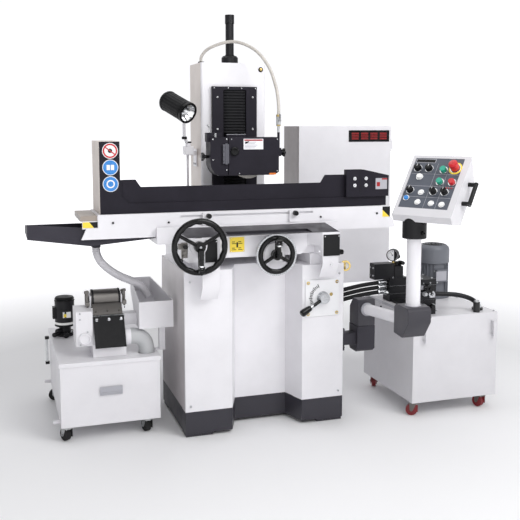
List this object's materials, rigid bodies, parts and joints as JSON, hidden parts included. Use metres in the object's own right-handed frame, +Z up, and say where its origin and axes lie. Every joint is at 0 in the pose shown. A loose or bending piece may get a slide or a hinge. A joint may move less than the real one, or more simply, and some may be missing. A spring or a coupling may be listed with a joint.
{
  "type": "surface grinder",
  "caption": "Horizontal-spindle surface grinder with a travelling table and chuck, wheel head on a column, control pendant, coolant unit and hydraulic unit.",
  "frame": {"origin": "on the floor, in the middle of the bounding box", "axes": "+X to the operator's right along the table, +Y away from the operator, +Z up"},
  "size_m": [2.298, 1.6622, 2.0384],
  "materials": {
    "white_casting": "off-white enamel, satin",
    "white_sheet": "off-white powder coat, satin",
    "dark_sheet": "charcoal textured enamel",
    "dark_casting": "charcoal enamel",
    "black_metal": "black gloss enamel",
    "bakelite": "black polished phenolic",
    "lamp_shell": "dark grey ribbed housing",
    "steel": "ground steel",
    "chrome": "polished chrome",
    "motor_paint": "blue-grey enamel",
    "rubber": "black rubber",
    "hose_plastic": "beige flexible hose",
    "caster_red": "red wheel in a zinc fork",
    "abrasive": "vitrified abrasive, matte",
    "red_plastic": "red push button",
    "green_plastic": "green push button"
  },
  "bodies": {
    "base": {"base_casting": "white_casting", "column": "white_casting", "way_cover": "dark_sheet", "screw_cover_tube": "black_metal", "upper_bellows": "rubber", "lower_bellows": "rubber", "electrical_cabinet": "white_sheet", "arm_bracket": "dark_sheet", "hydraulic_tank": "white_sheet", "hydraulic_motor": "motor_paint", "valve_block": "black_metal", "hydraulic_hose_1": "rubber", "hydraulic_hose_2": "rubber", "hydraulic_hose_3": "rubber", "coolant_tank": "white_sheet", "coolant_pump": "black_metal", "separator_frame": "white_sheet", "inlet_hopper": "white_sheet", "coolant_hose": "hose_plastic", "drain_hose": "hose_plastic"},
    "elevating_screw": {"elevation_screw": "steel"},
    "head": {"wheel_head": "dark_casting", "wheel_guard": "dark_sheet"},
    "arbor": {"spindle": "steel", "grinding_wheel": "abrasive"},
    "door": {"guard_door": "dark_sheet"},
    "tap": {"coolant_tap": "steel"},
    "cross_slide": {"saddle": "white_casting", "coolant_tray": "dark_sheet"},
    "big_wheel": {"table_handwheel": "bakelite"},
    "big_crank": {"table_crank": "bakelite"},
    "small_wheel": {"cross_handwheel": "bakelite"},
    "small_crank": {"cross_crank": "bakelite"},
    "work_table": {"table": "white_casting", "splash_guard": "dark_sheet", "end_guard": "dark_sheet", "magnetic_chuck": "steel"},
    "dog_left": {"reverse_dog_left": "bakelite"},
    "dog_right": {"reverse_dog_right": "bakelite"},
    "lever": {"speed_lever": "chrome"},
    "lamp_stem": {"lamp_arm": "white_sheet"},
    "lamp_shade": {"lamp_head": "lamp_shell"},
    "cabinet_lid": {"cabinet_door": "white_sheet"},
    "arm": {"pendant_arm": "white_sheet"},
    "pendant": {"pendant_box": "white_sheet"},
    "stop_mushroom": {"emergency_stop": "red_plastic"},
    "start_key": {"start_button": "green_plastic"},
    "cycle_key": {"cycle_button": "green_plastic"},
    "stop_key": {"stop_button": "red_plastic"},
    "knob_1": {"selector_1": "bakelite"},
    "knob_2": {"selector_2": "bakelite"},
    "drum": {"separator_drum": "steel"},
    "hydraulic_caster_body_1": {"hydraulic_caster_1": "caster_red"},
    "hydraulic_caster_body_2": {"hydraulic_caster_2": "caster_red"},
    "hydraulic_caster_body_3": {"hydraulic_caster_3": "caster_red"},
    "hydraulic_caster_body_4": {"hydraulic_caster_4": "caster_red"},
    "coolant_caster_body_1": {"coolant_caster_1": "rubber"},
    "coolant_caster_body_2": {"coolant_caster_2": "rubber"},
    "coolant_caster_body_3": {"coolant_caster_3": "rubber"},
    "coolant_caster_body_4": {"coolant_caster_4": "rubber"}
  },
  "joints": [
    {"name": "head_slide", "type": "slide", "parent": "base", "child": "head", "axis": [0, 0, 1], "range_m": [-0.07, 0.15], "deforming": ["upper_bellows", "lower_bellows", "coolant_hose"]},
    {"name": "elevating_screw_turn", "type": "hinge", "parent": "base", "child": "elevating_screw", "pos_m": [-0.069, 0.38608, 1.4], "axis": [0, 0, 1], "range_deg": [-2521, 5401]},
    {"name": "saddle_slide", "type": "slide", "parent": "base", "child": "cross_slide", "axis": [0, 1, 0], "range_m": [-0.15, 0.03], "deforming": ["drain_hose"]},
    {"name": "cross_handwheel_turn", "type": "hinge", "parent": "cross_slide", "child": "small_wheel", "pos_m": [-0.04, -0.29092, 0.857], "axis": [0, 1, 0], "range_deg": [-10801, 2161]},
    {"name": "cross_crank_fold", "type": "hinge", "parent": "small_wheel", "child": "small_crank", "pos_m": [-0.04, -0.32492, 0.927], "axis": [-1, 0, 0], "range_deg": [0, 90]},
    {"name": "table_slide", "type": "slide", "parent": "cross_slide", "child": "work_table", "axis": [1, 0, 0], "range_m": [-0.25, 0.25]},
    {"name": "table_handwheel_turn", "type": "hinge", "parent": "cross_slide", "child": "big_wheel", "pos_m": [-0.423, -0.34892, 0.92], "axis": [0, 1, 0], "range_deg": [-1733, 1733]},
    {"name": "table_crank_fold", "type": "hinge", "parent": "big_wheel", "child": "big_crank", "pos_m": [-0.423, -0.38292, 0.814], "axis": [1, 0, 0], "range_deg": [0, 90]},
    {"name": "left_dog_slide", "type": "slide", "parent": "work_table", "child": "dog_left", "axis": [1, 0, 0], "range_m": [-0.115, 0.15]},
    {"name": "right_dog_slide", "type": "slide", "parent": "work_table", "child": "dog_right", "axis": [1, 0, 0], "range_m": [-0.15, 0.085]},
    {"name": "speed_lever_turn", "type": "hinge", "parent": "base", "child": "lever", "pos_m": [0.217, -0.22892, 0.626], "axis": [0, 1, 0], "range_deg": [0, 80]},
    {"name": "spindle_spin", "type": "hinge", "parent": "head", "child": "arbor", "pos_m": [-0.069, 0.07108, 1.284], "axis": [0, 1, 0], "continuous": true},
    {"name": "guard_door_hinge", "type": "hinge", "parent": "head", "child": "door", "pos_m": [-0.197, 0.00908, 1.32], "axis": [0, 0, -1], "range_deg": [0, 110]},
    {"name": "coolant_tap_turn", "type": "hinge", "parent": "head", "child": "tap", "pos_m": [0.084, 0.02108, 1.481], "axis": [0, 1, 0], "range_deg": [0, 90]},
    {"name": "lamp_swivel", "type": "hinge", "parent": "base", "child": "lamp_stem", "pos_m": [-0.297, 0.39308, 1.36], "axis": [0, 0, 1], "range_deg": [-40, 30]},
    {"name": "lamp_tilt", "type": "hinge", "parent": "lamp_stem", "child": "lamp_shade", "pos_m": [-0.331, 0.34108, 1.495], "axis": [0.8518, 0.5239, 0], "range_deg": [-20, 25]},
    {"name": "cabinet_door_hinge", "type": "hinge", "parent": "base", "child": "cabinet_lid", "pos_m": [0.999, 0.58708, 1], "axis": [0, 0, 1], "range_deg": [0, 33]},
    {"name": "pendant_arm_swing", "type": "hinge", "parent": "base", "child": "arm", "pos_m": [0.451, -0.18892, 0.5], "axis": [0, 0, 1], "range_deg": [-10, 30]},
    {"name": "pendant_box_turn", "type": "hinge", "parent": "arm", "child": "pendant", "pos_m": [0.491, -0.62892, 1], "axis": [0, 0, 1], "range_deg": [-30, 45]},
    {"name": "emergency_stop_press", "type": "slide", "parent": "pendant", "child": "stop_mushroom", "axis": [0.6609, 0.4292, -0.6157], "range_m": [0, 0.006]},
    {"name": "start_press", "type": "slide", "parent": "pendant", "child": "start_key", "axis": [0.6609, 0.4292, -0.6157], "range_m": [0, 0.004], "stiffness_N_per_m": 300, "springref_m": -0.003},
    {"name": "cycle_press", "type": "slide", "parent": "pendant", "child": "cycle_key", "axis": [0.6609, 0.4292, -0.6157], "range_m": [0, 0.004], "stiffness_N_per_m": 300, "springref_m": -0.003},
    {"name": "stop_press", "type": "slide", "parent": "pendant", "child": "stop_key", "axis": [0.6609, 0.4292, -0.6157], "range_m": [0, 0.004], "stiffness_N_per_m": 300, "springref_m": -0.003},
    {"name": "selector_1_turn", "type": "hinge", "parent": "pendant", "child": "knob_1", "pos_m": [0.54931, -0.68492, 1.167], "axis": [-0.6609, -0.4292, 0.6157], "range_deg": [-45, 45]},
    {"name": "selector_2_turn", "type": "hinge", "parent": "pendant", "child": "knob_2", "pos_m": [0.57817, -0.72937, 1.167], "axis": [-0.6609, -0.4292, 0.6157], "range_deg": [-45, 45]},
    {"name": "separator_drum_spin", "type": "hinge", "parent": "base", "child": "drum", "pos_m": [-0.792, 0.07108, 0.63], "axis": [1, 0, 0], "continuous": true},
    {"name": "hydraulic_caster_swivel_1", "type": "hinge", "parent": "base", "child": "hydraulic_caster_body_1", "pos_m": [0.704, -0.29092, 0.04], "axis": [0, 0, 1], "continuous": true},
    {"name": "hydraulic_caster_swivel_2", "type": "hinge", "parent": "base", "child": "hydraulic_caster_body_2", "pos_m": [1.089, -0.29092, 0.04], "axis": [0, 0, 1], "continuous": true},
    {"name": "hydraulic_caster_swivel_3", "type": "hinge", "parent": "base", "child": "hydraulic_caster_body_3", "pos_m": [0.704, 0.17708, 0.04], "axis": [0, 0, 1], "continuous": true},
    {"name": "hydraulic_caster_swivel_4", "type": "hinge", "parent": "base", "child": "hydraulic_caster_body_4", "pos_m": [1.089, 0.17708, 0.04], "axis": [0, 0, 1], "continuous": true},
    {"name": "coolant_caster_swivel_1", "type": "hinge", "parent": "base", "child": "coolant_caster_body_1", "pos_m": [-0.996, -0.09192, 0.04], "axis": [0, 0, 1], "continuous": true},
    {"name": "coolant_caster_swivel_2", "type": "hinge", "parent": "base", "child": "coolant_caster_body_2", "pos_m": [-0.621, -0.09192, 0.04], "axis": [0, 0, 1], "continuous": true},
    {"name": "coolant_caster_swivel_3", "type": "hinge", "parent": "base", "child": "coolant_caster_body_3", "pos_m": [-0.996, 0.51708, 0.04], "axis": [0, 0, 1], "continuous": true},
    {"name": "coolant_caster_swivel_4", "type": "hinge", "parent": "base", "child": "coolant_caster_body_4", "pos_m": [-0.621, 0.51708, 0.04], "axis": [0, 0, 1], "continuous": true}
  ],
  "couplings": [
    {"joint": "elevating_screw_turn", "follows": "head_slide", "rad_per_m": 628.32},
    {"joint": "cross_handwheel_turn", "follows": "saddle_slide", "rad_per_m": 1256.6},
    {"joint": "table_handwheel_turn", "follows": "table_slide", "rad_per_m": 120.83}
  ]
}
